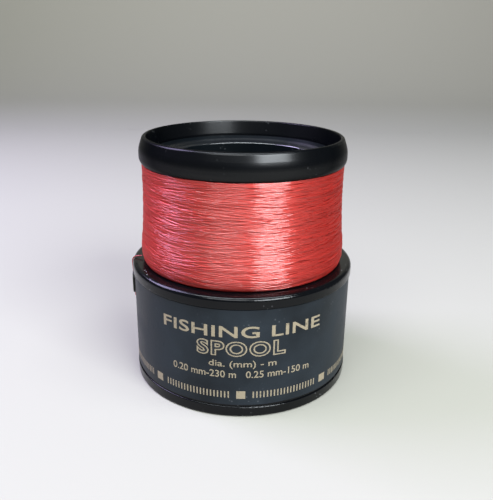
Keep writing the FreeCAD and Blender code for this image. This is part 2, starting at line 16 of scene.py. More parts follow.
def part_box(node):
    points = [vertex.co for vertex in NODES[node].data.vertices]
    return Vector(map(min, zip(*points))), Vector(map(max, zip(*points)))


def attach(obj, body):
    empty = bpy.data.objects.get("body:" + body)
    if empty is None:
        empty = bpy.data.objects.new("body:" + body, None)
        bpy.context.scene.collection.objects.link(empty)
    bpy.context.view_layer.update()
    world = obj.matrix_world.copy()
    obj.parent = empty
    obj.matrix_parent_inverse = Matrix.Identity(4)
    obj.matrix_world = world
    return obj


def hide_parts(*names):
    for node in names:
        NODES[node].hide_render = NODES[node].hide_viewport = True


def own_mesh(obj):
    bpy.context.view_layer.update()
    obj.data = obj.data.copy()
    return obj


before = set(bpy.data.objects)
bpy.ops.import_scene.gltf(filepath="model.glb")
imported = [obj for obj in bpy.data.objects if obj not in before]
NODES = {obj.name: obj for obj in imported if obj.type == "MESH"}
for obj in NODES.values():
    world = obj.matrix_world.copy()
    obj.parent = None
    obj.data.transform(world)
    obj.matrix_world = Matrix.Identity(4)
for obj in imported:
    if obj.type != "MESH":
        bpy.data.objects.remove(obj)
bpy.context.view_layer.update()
MM = 0.001

# %% [markdown]
# ## Places
#
# Sizes come from the CAD parts, so that the line and the print always fit them. A part that is
# turned about the spool's axis has its radius in its box: the box's highest Y.

# %% Sizes from the CAD parts
def outer_radius(node):
    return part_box(node)[1].y


def inner_radius(node):
    """The nearest that a turned part comes to the axis."""
    return min(Vector(vertex.co[:2]).length for vertex in NODES[node].data.vertices)


def top(node):
    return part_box(node)[1].z


flange_top = top("skirt")
flange_radius = outer_radius("skirt")
label_radius = outer_radius("label_band")
drum_radius = outer_radius("drum")
pack_radius = outer_radius("line_pack")
pack_top = top("line_pack")
lip_radius = outer_radius("front_lip_ring")
ring_mouth = inner_radius("lip_retaining_ring")
lip_mouth = inner_radius("front_lip_ring")
print("flange %.2f mm, label %.2f mm, line %.2f mm, lip %.2f mm across" % tuple(
    2 * r / MM for r in (flange_radius, label_radius, pack_radius, lip_radius)))

# %% [markdown]
# ## Camera
#
# The spool is seen from close by and from above, so the near side of every ring bends downwards.
# A short distance gives that look, and it is the distance, not the lens, that sets it.

# %% Camera
camera_place = Vector((0.0, -138.8, 80.3)) * MM
camera_tilt = math.radians(19.96)
camera_pan = math.radians(0.44)
camera_roll = math.radians(0.71)

camera_data = bpy.data.cameras.new("camera")
camera_data.sensor_width = 36.0
camera_data.lens = 43.2
camera_data.clip_start = 0.005
camera = bpy.data.objects.new("camera", camera_data)
camera.matrix_world = (
    Matrix.Translation(camera_place)
    @ Matrix.Rotation(-camera_pan, 4, "Z")
    @ Matrix.Rotation(math.pi / 2 - camera_tilt, 4, "X")
    @ Matrix.Rotation(camera_roll, 4, "Z")
)
bpy.context.scene.collection.objects.link(camera)
bpy.context.scene.camera = camera
print("camera %.0f mm from the axis, %.0f mm up" % (-camera_place.y / MM, camera_place.z / MM))

# %% [markdown]
# ## Studio
#
# A pale floor that rises into a pale wall behind gives a plain background. Black plastic shows
# nothing but reflections, so the lights are large panels: they draw the bright bands on the lip
# and the flange. The key stands in front on the right, a weaker panel a little left of the
# camera, a cooler one far to the left, and one hangs overhead. A fifth lights the wall only.

# %% Floor and wall
def new_object(name, mesh):
    obj = bpy.data.objects.new(name, mesh)
    bpy.context.scene.collection.objects.link(obj)
    return obj


def plain_material(name, colour, roughness):
    material = bpy.data.materials.new(name)
    material.use_nodes = True
    shader = material.node_tree.nodes["Principled BSDF"]
    shader.inputs["Base Color"].default_value = (*colour, 1)
    shader.inputs["Roughness"].default_value = roughness
    return material


def sweep_floor():
    """A floor that curves up into a wall behind the object."""
    half, front, back, bend, height, steps = 1.6, -1.4, 1.1, 0.5, 1.4, 16
    outline = [(front, 0.0)]
    for step in range(steps + 1):
        turn = math.pi / 2 * step / steps
        outline.append((back - bend + bend * math.sin(turn), bend - bend * math.cos(turn)))
    outline.append((back, height))
    verts = [(x, y, z) for y, z in outline for x in (-half, half)]
    faces = [(2 * i, 2 * i + 1, 2 * i + 3, 2 * i + 2) for i in range(len(outline) - 1)]
    mesh = bpy.data.meshes.new("floor")
    mesh.from_pydata(verts, [], faces)
    mesh.shade_smooth()
    mesh.materials.append(plain_material("floor", (0.283, 0.276, 0.240), 0.85))
    return new_object("floor", mesh)


floor = sweep_floor()


# %% Lights
middle = Vector((0.0, 0.0, 0.035))


def around_the_spool(azimuth, elevation, distance):
    """A place at these angles from the spool: azimuth from the camera's side, positive to the right."""
    turn, rise = math.radians(azimuth), math.radians(elevation)
    reach = distance * math.cos(rise)
    return middle + Vector((reach * math.sin(turn), -reach * math.cos(turn), distance * math.sin(rise)))


def panel(name, azimuth, elevation, distance, size, radiance, colour):
    """A panel that faces the spool. Radiance is how bright its face looks in a mirror."""
    data = bpy.data.lights.new(name, "AREA")
    data.shape = "RECTANGLE"
    data.size, data.size_y = size
    data.energy = radiance * math.pi * size[0] * size[1]
    data.color = colour
    light = bpy.data.objects.new(name, data)
    light.location = around_the_spool(azimuth, elevation, distance)
    light.rotation_euler = (middle - light.location).to_track_quat("-Z", "Y").to_euler()
    bpy.context.scene.collection.objects.link(light)
    return light


panel("key", 34, 34, 0.6, (0.34, 0.24), 26.0, (0.90, 0.96, 1.0))
panel("front", -18, 46, 0.6, (0.36, 0.20), 8.5, (0.93, 0.97, 1.0))
panel("left", -106, 44, 0.5, (0.26, 0.26), 18.0, (0.68, 0.60, 1.0))
panel("overhead", 0, 84, 0.7, (0.8, 0.16), 16.0, (0.88, 0.95, 1.0))

# the wall's light hangs behind the spool and is turned away from it, towards the wall
backdrop_light = panel("backdrop", 180, 50, 0.9, (1.4, 0.4), 3.6, (1.0, 0.99, 0.97))
backdrop_light.rotation_euler = (math.radians(75), 0, 0)

world = bpy.data.worlds.new("studio")
world.use_nodes = True
world.node_tree.nodes["Background"].inputs["Color"].default_value = (0.80, 0.83, 0.88, 1)
world.node_tree.nodes["Background"].inputs["Strength"].default_value = 0.14
bpy.context.scene.world = world
bpy.context.scene.view_settings.view_transform = "Standard"
print("studio: 4 panels on the spool, 1 on the wall and a dim sky")

# %% [markdown]
# ## Finishes
#
# Two effects are used by several finishes, so each is a node group. `handling` makes fine
# scratches and a scatter of small pale scuffs. `grain` is the faint orange-peel of moulded or
# painted parts. Both read Object coordinates, in metres, so a scale of 1000 is one per millimetre.

# %% Helpers for node trees
def new_group(name, sockets_in, sockets_out):
    group = bpy.data.node_groups.new(name, "ShaderNodeTree")
    for socket, kind, default in sockets_in:
        made = group.interface.new_socket(socket, in_out="INPUT", socket_type=kind)
        if default is not None:
            made.default_value = default
    for socket, kind in sockets_out:
        group.interface.new_socket(socket, in_out="OUTPUT", socket_type=kind)
    return group


def add(tree, kind, **settings):
    """A node with its settings; a setting that is a dictionary fills inputs by name or number."""
    node = tree.nodes.new(kind)
    inputs = settings.pop("inputs", {})
    for name, value in settings.items():
        setattr(node, name, value)
    for name, value in inputs.items():
        node.inputs[name].default_value = value
    return node


def link(tree, source, target):
    tree.links.new(source, target)


def math_node(tree, operation, first, second=None, clamp=False):
    node = add(tree, "ShaderNodeMath", operation=operation, use_clamp=clamp)
    for slot, value in enumerate((first, second)):
        if value is None:
            continue
        if isinstance(value, (int, float)):
            node.inputs[slot].default_value = value
        else:
            link(tree, value, node.inputs[slot])
    return node.outputs[0]


def ramp(tree, factor, stops):
    """A colour ramp through (position, grey or colour) stops."""
    node = add(tree, "ShaderNodeValToRGB")
    elements = node.color_ramp.elements
    while len(elements) < len(stops):
        elements.new(0.5)
    for element, (position, value) in zip(elements, stops):
        element.position = position
        element.color = (value, value, value, 1) if isinstance(value, (int, float)) else (*value, 1)
    link(tree, factor, node.inputs["Fac"])
    return node.outputs["Color"]


# %% Scratches and scuffs
def make_handling():
    group = new_group("handling", [
        ("Vector", "NodeSocketVector", None),
        ("Scratch Scale", "NodeSocketFloat", 220.0),
        ("Scuff Scale", "NodeSocketFloat", 900.0),
        ("Scuff Amount", "NodeSocketFloat", 0.2),
    ], [("Scratches", "NodeSocketFloat"), ("Scuffs", "NodeSocketFloat"), ("Smudge", "NodeSocketFloat")])
    put = add(group, "NodeGroupInput").outputs
    out = add(group, "NodeGroupOutput").inputs

    scratches = None
    for turn, stretch in ((0.5, 14.0), (1.9, 9.0)):
        turned = add(group, "ShaderNodeMapping")
        turned.inputs["Rotation"].default_value = (turn, turn * 0.7, turn)
        turned.inputs["Scale"].default_value = (1.0, stretch, 1.0)
        link(group, put["Vector"], turned.inputs["Vector"])
        noise = add(group, "ShaderNodeTexNoise", inputs={"Detail": 3.0, "Roughness": 0.6})
        link(group, turned.outputs[0], noise.inputs["Vector"])
        link(group, put["Scratch Scale"], noise.inputs["Scale"])
        lines = ramp(group, noise.outputs["Fac"], [(0.66, 0.0), (0.72, 1.0)])
        scratches = lines if scratches is None else math_node(group, "MAXIMUM", scratches, lines)
    link(group, scratches, out["Scratches"])

    specks = add(group, "ShaderNodeTexVoronoi", inputs={"Randomness": 1.0})
    link(group, put["Vector"], specks.inputs["Vector"])
    link(group, put["Scuff Scale"], specks.inputs["Scale"])
    dots = ramp(group, specks.outputs["Distance"], [(0.10, 1.0), (0.22, 0.0)])
    patches = add(group, "ShaderNodeTexNoise", inputs={"Scale": 130.0, "Detail": 2.0})
    link(group, put["Vector"], patches.inputs["Vector"])
    where = ramp(group, patches.outputs["Fac"], [(0.58, 0.0), (0.66, 1.0)])
    scuffs = math_node(group, "MULTIPLY", math_node(group, "MULTIPLY", dots, where), put["Scuff Amount"])
    link(group, scuffs, out["Scuffs"])

    cloud = add(group, "ShaderNodeTexNoise", inputs={"Scale": 75.0, "Detail": 4.0, "Roughness": 0.55})
    link(group, put["Vector"], cloud.inputs["Vector"])
    link(group, cloud.outputs["Fac"], out["Smudge"])
    return group


handling = make_handling()


# %% Moulded grain
def make_grain():
    group = new_group("grain", [
        ("Vector", "NodeSocketVector", None),
        ("Scale", "NodeSocketFloat", 2600.0),
    ], [("Height", "NodeSocketFloat")])
    put = add(group, "NodeGroupInput").outputs
    out = add(group, "NodeGroupOutput").inputs
    noise = add(group, "ShaderNodeTexNoise", inputs={"Detail": 2.0, "Roughness": 0.5})
    link(group, put["Vector"], noise.inputs["Vector"])
    link(group, put["Scale"], noise.inputs["Scale"])
    link(group, noise.outputs["Fac"], out["Height"])
    return group


grain = make_grain()
print("node groups:", [group.name for group in bpy.data.node_groups])

# %% [markdown]
# One function makes every hard finish: a base colour that smudges and scuffs shift a little, a
# roughness that handling raises, and a fine bump. The differences between gloss black, satin
# black and slate are then only numbers.
#
# Two finishes need more. A smooth black mirrors a pale studio most where it turns away from the
# eye, and would lose its outline there, so the lip has a coat that thins out at those angles. The
# dished ring was turned on a lathe, which leaves polished bands: its coat follows the distance
# from the axis, and is missing in the ring's mouth, which stays dark.

# %% Hard finishes
def worn_finish(name, colour, roughness, smudge=0.06, scuff=0.15, scratch=0.1, grain_scale=2600.0,
                grain_depth=0.02, metallic=0.0, pale=(0.55, 0.56, 0.58), specular=0.5):
    material = bpy.data.materials.new(name)
    material.use_nodes = True
    tree = material.node_tree
    shader = tree.nodes["Principled BSDF"]
    shader.inputs["Metallic"].default_value = metallic
    shader.inputs["Specular IOR Level"].default_value = specular
    place = add(tree, "ShaderNodeTexCoord").outputs["Object"]

    wear = add(tree, "ShaderNodeGroup", node_tree=handling)
    wear.inputs["Scuff Amount"].default_value = scuff
    link(tree, place, wear.inputs["Vector"])
    surface = add(tree, "ShaderNodeGroup", node_tree=grain)
    surface.inputs["Scale"].default_value = grain_scale
    link(tree, place, surface.inputs["Vector"])

    tint = ramp(tree, wear.outputs["Smudge"], [
        (0.3, tuple(c * (1 - smudge * 3) for c in colour)),
        (0.7, tuple(min(1.0, c * (1 + smudge * 3)) for c in colour)),
    ])
    mix = add(tree, "ShaderNodeMix", data_type="RGBA")
    link(tree, wear.outputs["Scuffs"], mix.inputs["Factor"])
    link(tree, tint, mix.inputs["A"])
    mix.inputs["B"].default_value = (*pale, 1)
    link(tree, mix.outputs["Result"], shader.inputs["Base Color"])

    marks = math_node(tree, "MULTIPLY", wear.outputs["Scratches"], scratch)
    uneven = math_node(tree, "SUBTRACT", wear.outputs["Smudge"], 0.5)
    clouds = math_node(tree, "MULTIPLY", uneven, smudge * 4)
    rough = math_node(tree, "ADD", math_node(tree, "ADD", marks, clouds), roughness, clamp=True)
    link(tree, rough, shader.inputs["Roughness"])

    height = math_node(tree, "SUBTRACT", surface.outputs["Height"], math_node(tree, "MULTIPLY", marks, 1.5))
    bump = add(tree, "ShaderNodeBump", inputs={"Strength": 1.0, "Distance": grain_depth * MM})
    link(tree, height, bump.inputs["Height"])
    link(tree, bump.outputs["Normal"], shader.inputs["Normal"])
    return material


def coat(material, weight, ior, roughness):
    shader = material.node_tree.nodes["Principled BSDF"]
    link(material.node_tree, weight, shader.inputs["Coat Weight"])
    shader.inputs["Coat IOR"].default_value = ior
    shader.inputs["Coat Roughness"].default_value = roughness


def fading_coat(material, ior, roughness, full, faint, least=0.05):
    """A clear coat that thins out where the surface turns away.

    Facing is 0 where the surface faces the eye and 1 at its outline: the coat is whole up to
    full, and has only the least weight from faint on.
    """
    tree = material.node_tree
    facing = add(tree, "ShaderNodeLayerWeight", inputs={"Blend": 0.5}).outputs["Facing"]
    coat(material, ramp(tree, facing, [(full, 1.0), (faint, least)]), ior, roughness)


def turned_bands(material, inner, outer, bands, ior, roughness):
    """Polished bands round the axis: stops of (share of the way out, gloss) between two radii."""
    tree = material.node_tree
    apart = add(tree, "ShaderNodeSeparateXYZ")
    link(tree, add(tree, "ShaderNodeTexCoord").outputs["Object"], apart.inputs[0])
    x, y = apart.outputs["X"], apart.outputs["Y"]
    square = math_node(tree, "ADD", math_node(tree, "MULTIPLY", x, x), math_node(tree, "MULTIPLY", y, y))
    radius = math_node(tree, "SQRT", square)
    share = math_node(tree, "DIVIDE", math_node(tree, "SUBTRACT", radius, inner), outer - inner)
    coat(material, ramp(tree, share, bands), ior, roughness)


gloss_black = worn_finish("gloss_black", (0.0014, 0.0017, 0.0023), 0.17, scuff=0.15, specular=0.2)
lip_black = worn_finish("lip_black", (0.0010, 0.0013, 0.0018), 0.3, scuff=0.05, specular=0.02)
fading_coat(lip_black, ior=1.31, roughness=0.24, full=0.15, faint=0.5)
cast_black = worn_finish("cast_black", (0.004, 0.004, 0.0045), 0.5, grain_scale=1600, grain_depth=0.05,
                         specular=0.2)
dish_black = worn_finish("dish_black", (0.002, 0.003, 0.004), 0.4, scuff=0.05, specular=0.05,
                         grain_depth=0.006)
turned_bands(dish_black, ring_mouth, lip_mouth,
             [(0.015, 0.0), (0.03, 0.8), (0.14, 0.6), (0.30, 0.35), (0.50, 0.4),
              (0.66, 1.0), (0.96, 1.0), (1.0, 0.2)], ior=2.3, roughness=0.22)
slate_foil = worn_finish("slate_foil", (0.0110, 0.0148, 0.0190), 0.42, smudge=0.14, scuff=0.12,
                         scratch=0.15, pale=(0.30, 0.31, 0.33), specular=0.15)
clip_black = worn_finish("clip_black", (0.003, 0.003, 0.003), 0.35, scuff=0.05, specular=0.25)
washer_steel = worn_finish("washer_steel", (0.13, 0.13, 0.125), 0.5, metallic=1.0)
spring_steel = worn_finish("spring_steel", (0.46, 0.46, 0.45), 0.3, metallic=1.0)
bearing_steel = worn_finish("bearing_steel", (0.62, 0.62, 0.63), 0.12, metallic=1.0, grain_depth=0.004)
cage_brass = worn_finish("cage_brass", (0.62, 0.44, 0.18), 0.3, metallic=1.0)
acetal = worn_finish("acetal", (0.56, 0.54, 0.48), 0.45)

FINISHES = {
    "skirt": gloss_black, "drum": cast_black, "front_lip_ring": lip_black,
    "lip_retaining_ring": dish_black, "label_band": slate_foil, "line_clip": clip_black,
    "line_clip_spring": spring_steel, "line_clip_push_washer": spring_steel,
    "washer_retaining_ring": spring_steel, "bearing_outer_race": bearing_steel,
    "bearing_inner_race": bearing_steel, "bearing_balls": bearing_steel, "bearing_cage": cage_brass,
    "bearing_shields": spring_steel, "click_ratchet": acetal, "ratchet_screws": spring_steel,
    "skirt_screws": spring_steel, "keyed_washer": washer_steel, "eared_washer": washer_steel,
    "pressure_washer": washer_steel,
}


def finish_node(node, material):
    slots = NODES[node].data.materials
    slots.clear()
    slots.append(material)


for node, material in FINISHES.items():
    finish_node(node, material)
print("finished", len(FINISHES), "CAD parts")

# %% [markdown]
# ## The clip's spring
#
# The leaf is bowed at rest and lies nearly flat when the clip is pulled out. Its CAD mesh can't
# A welded copy of its CAD mesh, with a mesh of its own, stands in for it.

# %% A stand-in for the leaf
def stand_in(node, name):
    """A welded copy of a CAD part, free to change shape."""
    mesh = NODES[node].data.copy()
    mesh.name = name
    shape = bmesh.new()
    shape.from_mesh(mesh)
    bmesh.ops.remove_doubles(shape, verts=shape.verts, dist=0.0005 * MM)
    shape.to_mesh(mesh)
    shape.free()
    copy = new_object(name, mesh)
    copy.matrix_world = NODES[node].matrix_world.copy()
    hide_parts(node)
    return copy


def middle_of(node):
    low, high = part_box(node)
    return (low + high) / 2


clip_out = middle_of("line_clip")
clip_out.z = 0.0
clip_out.normalize()
leaf = stand_in("line_clip_spring", "clip_leaf")
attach(leaf, "spool")
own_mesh(leaf)

# %% [markdown]
# ## Felt washers
#
# Drag felt is matted wool with grease worked in. A fine noise makes the nap, a coarse one the
# darker patches where the grease sits, and sheen gives the soft edge that fibres have.

# %% Felt
def felt_finish():
    material = bpy.data.materials.new("felt")
    material.use_nodes = True
    tree = material.node_tree
    shader = tree.nodes["Principled BSDF"]
    shader.inputs["Sheen Weight"].default_value = 0.35
    shader.inputs["Specular IOR Level"].default_value = 0.3
    place = add(tree, "ShaderNodeTexCoord").outputs["Object"]
    patches = add(tree, "ShaderNodeTexNoise", inputs={"Scale": 260.0, "Detail": 3.0})
    fibres = add(tree, "ShaderNodeTexNoise", inputs={"Scale": 4200.0, "Detail": 4.0, "Distortion": 1.2})
    for noise in (patches, fibres):
        link(tree, place, noise.inputs["Vector"])
    both = math_node(tree, "ADD", math_node(tree, "MULTIPLY", patches.outputs["Fac"], 0.7),
                     math_node(tree, "MULTIPLY", fibres.outputs["Fac"], 0.3))
    link(tree, ramp(tree, both, [(0.35, (0.13, 0.12, 0.10)), (0.65, (0.32, 0.30, 0.25))]),
         shader.inputs["Base Color"])
    link(tree, ramp(tree, patches.outputs["Fac"], [(0.4, 0.6), (0.6, 0.95)]), shader.inputs["Roughness"])
    bump = add(tree, "ShaderNodeBump", inputs={"Strength": 0.8, "Distance": 0.08 * MM})
    link(tree, fibres.outputs["Fac"], bump.inputs["Height"])
    link(tree, bump.outputs["Normal"], shader.inputs["Normal"])
    return material


felt = felt_finish()
for node in ("rear_felt_washer", "middle_felt_washer", "front_felt_washer"):
    finish_node(node, felt)

# %% [markdown]
# ## Print
#
# The ink is a pale gold, a little worn: a noise lets the foil's colour show through in places. The
# second ink is nearly black and fills the outlined word.

# %% Inks
def ink_finish(name, colour, worn_colour, wear):
    material = bpy.data.materials.new(name)
    material.use_nodes = True
    tree = material.node_tree
    shader = tree.nodes["Principled BSDF"]
    shader.inputs["Roughness"].default_value = 0.45
    shader.inputs["Specular IOR Level"].default_value = 0.25
    place = add(tree, "ShaderNodeTexCoord").outputs["Object"]
    noise = add(tree, "ShaderNodeTexNoise", inputs={"Scale": 1500.0, "Detail": 3.0, "Roughness": 0.6})
    link(tree, place, noise.inputs["Vector"])
    link(tree, ramp(tree, noise.outputs["Fac"], [(wear, worn_colour), (wear + 0.12, colour)]),
         shader.inputs["Base Color"])
    return material


gold_ink = ink_finish("gold_ink", (0.245, 0.205, 0.142), (0.12, 0.10, 0.07), 0.30)
dark_ink = ink_finish("dark_ink", (0.0110, 0.0148, 0.0190), (0.015, 0.019, 0.024), 0.3)

# %% [markdown]
# ## Line
#
# Monofilament is clear nylon with a red dye. Light goes in, scatters between the turns and comes
# out coral, so the shader has some subsurface scattering and a broad red gloss. Over that lies a
# clear coat with narrow white highlights, which thins out like the lip's. Each pass of the line
# stores its own tint, which keeps neighbouring turns apart.

# %% Line finish
def line_finish(name, deep, light):
    material = bpy.data.materials.new(name)
    material.use_nodes = True
    tree = material.node_tree
    shader = tree.nodes["Principled BSDF"]
    shader.inputs["Roughness"].default_value = 0.42
    shader.inputs["IOR"].default_value = 2.1
    shader.inputs["Specular IOR Level"].default_value = 1.0
    shader.inputs["Specular Tint"].default_value = (1.0, 0.12, 0.10, 1)
    fading_coat(material, ior=1.7, roughness=0.08, full=0.2, faint=0.5)
    shader.inputs["Subsurface Weight"].default_value = 0.15
    shader.inputs["Subsurface Radius"].default_value = (1.0, 0.25, 0.2)
    shader.inputs["Subsurface Scale"].default_value = 0.5 * MM
    tint = add(tree, "ShaderNodeAttribute", attribute_name="tint")
    link(tree, ramp(tree, tint.outputs["Fac"], [(0.0, deep), (1.0, light)]), shader.inputs["Base Color"])
    return material


red_line = line_finish("red_line", (0.13, 0.004, 0.0025), (0.25, 0.010, 0.007))
core_red = line_finish("core_red", (0.22, 0.009, 0.006), (0.22, 0.009, 0.006))

# %% [markdown]
# ## Winding
#
# A spinning reel lays the line in long crossing passes: the spool rises and falls while the rotor
# turns, so each turn climbs a few millimetres. Only the outermost passes are seen. One long curve
# follows that rule: its angle grows steadily, its height goes up and down between the flange and
# the lip, and its radius follows the pack's outline, a little deeper in some passes than in
# others. That is a rule, so Geometry Nodes make it, in a few lengths that each stay small enough
# for one mesh. The noise in it has no seed to choose: it depends only on place and pass number.

# %% The pack's outline
# shares of the way up from flange to lip, and of the line's full depth on the drum
PACK_OUTLINE = [(0.0, 0.70), (0.035, 0.90), (0.10, 0.99), (0.17, 1.0), (0.34, 0.885), (0.62, 0.78),
                (1.0, 0.76)]


# %% Helpers for geometry node trees
def new_geometry_tree(name, inputs):
    tree = bpy.data.node_groups.new(name, "GeometryNodeTree")
    tree.interface.new_socket("Geometry", in_out="INPUT", socket_type="NodeSocketGeometry")
    for socket, kind, default in inputs:
        made = tree.interface.new_socket(socket, in_out="INPUT", socket_type=kind)
        if default is not None:
            made.default_value = default
    tree.interface.new_socket("Geometry", in_out="OUTPUT", socket_type="NodeSocketGeometry")
    return tree


def run_tree(name, tree, settings):
    """The mesh that a tree makes with these inputs, as a plain object with no modifier."""
    carrier = new_object(name + "_maker", bpy.data.meshes.new(name + "_maker"))
    modifier = carrier.modifiers.new("nodes", "NODES")
    modifier.node_group = tree
    identifiers = {item.name: item.identifier for item in tree.interface.items_tree
                   if item.in_out == "INPUT"}
    for setting, value in settings.items():
        modifier[identifiers[setting]] = value
    depsgraph = bpy.context.evaluated_depsgraph_get()
    mesh = bpy.data.meshes.new_from_object(carrier.evaluated_get(depsgraph))
    mesh.name = name
    bpy.data.objects.remove(carrier)
    return new_object(name, mesh)


# %% The winding's tree
def winding_tree():
    tree = new_geometry_tree("winding", [
        ("Start Turn", "NodeSocketFloat", 0.0),
        ("Turns", "NodeSocketFloat", 60.0),
        ("Points per Turn", "NodeSocketInt", 72),
        ("Climb", "NodeSocketFloat", 0.0),
        ("Rear", "NodeSocketFloat", 0.0),
        ("Front", "NodeSocketFloat", 0.0),
        ("Pack Radius", "NodeSocketFloat", 0.0),
        ("Drum Radius", "NodeSocketFloat", 0.0),
        ("Build Up", "NodeSocketFloat", 0.0),
        ("Line Radius", "NodeSocketFloat", 0.0),
        ("Wander", "NodeSocketFloat", 0.0),
        ("Wanders per Turn", "NodeSocketFloat", 0.0),
        ("Ridge", "NodeSocketFloat", 0.0),
        ("Ridges Round", "NodeSocketFloat", 0.0),
        ("Ridges per Metre Up", "NodeSocketFloat", 0.0),
        ("Ripple", "NodeSocketFloat", 0.0),
        ("Ripples per Turn", "NodeSocketFloat", 0.0),
        ("Material", "NodeSocketMaterial", None),
    ])
    put = add(tree, "NodeGroupInput").outputs
    out = add(tree, "NodeGroupOutput").inputs

    def calc(operation, first, second=None):
        return math_node(tree, operation, first, second)

    # the number of turns laid so far, at each point
    count = calc("MULTIPLY", put["Turns"], put["Points per Turn"])
    line = add(tree, "GeometryNodeMeshLine")
    link(tree, count, line.inputs["Count"])
    index = add(tree, "GeometryNodeInputIndex").outputs[0]
    turns = calc("ADD", calc("DIVIDE", index, put["Points per Turn"]), put["Start Turn"])
    angle = calc("MULTIPLY", turns, math.tau)

    # the height goes up and down; the smooth ends are where the reel's stroke turns round
    width = calc("SUBTRACT", put["Front"], put["Rear"])
    strokes = calc("DIVIDE", calc("MULTIPLY", turns, put["Climb"]), width)
    swing = calc("PINGPONG", strokes, 1.0)
    eased = add(tree, "ShaderNodeMapRange", interpolation_type="SMOOTHSTEP")
    link(tree, swing, eased.inputs["Value"])
    share = calc("ADD", calc("MULTIPLY", swing, 0.5), calc("MULTIPLY", eased.outputs["Result"], 0.5))

    # each turn wanders a little, and differently from its neighbours
    along = add(tree, "ShaderNodeCombineXYZ")
    link(tree, calc("MULTIPLY", turns, put["Wanders per Turn"]), along.inputs["X"])
    drift = add(tree, "ShaderNodeTexNoise", noise_dimensions="3D", inputs={"Scale": 1.0, "Detail": 1.5})
    link(tree, along.outputs[0], drift.inputs["Vector"])
    wander = calc("MULTIPLY", calc("SUBTRACT", drift.outputs["Fac"], 0.5), put["Wander"])
    height = calc("ADD", calc("ADD", put["Rear"], calc("MULTIPLY", share, width)), wander)
    height = calc("MINIMUM", calc("MAXIMUM", height, put["Rear"]), put["Front"])
    share = calc("DIVIDE", calc("SUBTRACT", height, put["Rear"]), width)

    # the pack's outline: round at the flange, fullest just above it, then even up to the lip
    outline = add(tree, "ShaderNodeFloatCurve")
    points = outline.mapping.curves[0].points
    while len(points) < len(PACK_OUTLINE):
        points.new(0.5, 0.5)
    for point, (x, y) in zip(points, PACK_OUTLINE):
        point.location = (x, y)
    outline.mapping.update()
    link(tree, share, outline.inputs["Value"])
    depth = calc("SUBTRACT", put["Pack Radius"], put["Drum Radius"])
    radius = calc("ADD", put["Drum Radius"], calc("MULTIPLY", outline.outputs[0], depth))

    # turns bunch into low ridges, and some passes lie deeper than others
    ridge_place = add(tree, "ShaderNodeCombineXYZ")
    link(tree, calc("MULTIPLY", calc("COSINE", angle), put["Ridges Round"]), ridge_place.inputs["X"])
    link(tree, calc("MULTIPLY", calc("SINE", angle), put["Ridges Round"]), ridge_place.inputs["Y"])
    link(tree, calc("MULTIPLY", height, put["Ridges per Metre Up"]), ridge_place.inputs["Z"])
    ridges = add(tree, "ShaderNodeTexNoise", noise_dimensions="3D", inputs={"Scale": 1.0, "Detail": 1.0})
    link(tree, ridge_place.outputs[0], ridges.inputs["Vector"])
    ridge = calc("MULTIPLY", calc("SUBTRACT", ridges.outputs["Fac"], 0.5), put["Ridge"])
    passes = calc("FLOOR", strokes)
    lift = add(tree, "ShaderNodeTexWhiteNoise", noise_dimensions="1D")
    link(tree, passes, lift.inputs["W"])
    laid = calc("MULTIPLY", lift.outputs["Value"], put["Build Up"])
    radius = calc("SUBTRACT", calc("ADD", radius, ridge), laid)

    # where a turn crosses the ones beneath it ripples in and out
    crossing = add(tree, "ShaderNodeCombineXYZ")
    link(tree, calc("MULTIPLY", turns, put["Ripples per Turn"]), crossing.inputs["X"])
    ripples = add(tree, "ShaderNodeTexNoise", noise_dimensions="3D", inputs={"Scale": 1.0, "Detail": 0.0})
    link(tree, crossing.outputs[0], ripples.inputs["Vector"])
    ripple = calc("MULTIPLY", calc("SUBTRACT", ripples.outputs["Fac"], 0.5), put["Ripple"])
    radius = calc("ADD", radius, ripple)

    place = add(tree, "ShaderNodeCombineXYZ")
    link(tree, calc("MULTIPLY", radius, calc("COSINE", angle)), place.inputs["X"])
    link(tree, calc("MULTIPLY", radius, calc("SINE", angle)), place.inputs["Y"])
    link(tree, height, place.inputs["Z"])
    moved = add(tree, "GeometryNodeSetPosition")
    link(tree, line.outputs["Mesh"], moved.inputs["Geometry"])
    link(tree, place.outputs[0], moved.inputs["Position"])

    tinted = add(tree, "GeometryNodeStoreNamedAttribute", data_type="FLOAT", domain="POINT")
    tinted.inputs["Name"].default_value = "tint"
    shade = add(tree, "ShaderNodeTexWhiteNoise", noise_dimensions="1D")
    link(tree, calc("ADD", passes, 0.5), shade.inputs["W"])
    link(tree, moved.outputs["Geometry"], tinted.inputs["Geometry"])
    link(tree, shade.outputs["Value"], tinted.inputs["Value"])

    curve = add(tree, "GeometryNodeMeshToCurve")
    link(tree, tinted.outputs["Geometry"], curve.inputs["Mesh"])
    section = add(tree, "GeometryNodeCurvePrimitiveCircle", inputs={"Resolution": 6})
    link(tree, put["Line Radius"], section.inputs["Radius"])
    tube = add(tree, "GeometryNodeCurveToMesh", inputs={"Fill Caps": True})
    link(tree, curve.outputs["Curve"], tube.inputs["Curve"])
    link(tree, section.outputs["Curve"], tube.inputs["Profile Curve"])
    whole = add(tree, "GeometryNodeRealizeInstances")
    link(tree, tube.outputs["Mesh"], whole.inputs["Geometry"])
    dyed = add(tree, "GeometryNodeSetMaterial")
    link(tree, whole.outputs["Geometry"], dyed.inputs["Geometry"])
    link(tree, put["Material"], dyed.inputs["Material"])
    link(tree, dyed.outputs["Geometry"], out["Geometry"])
    return tree


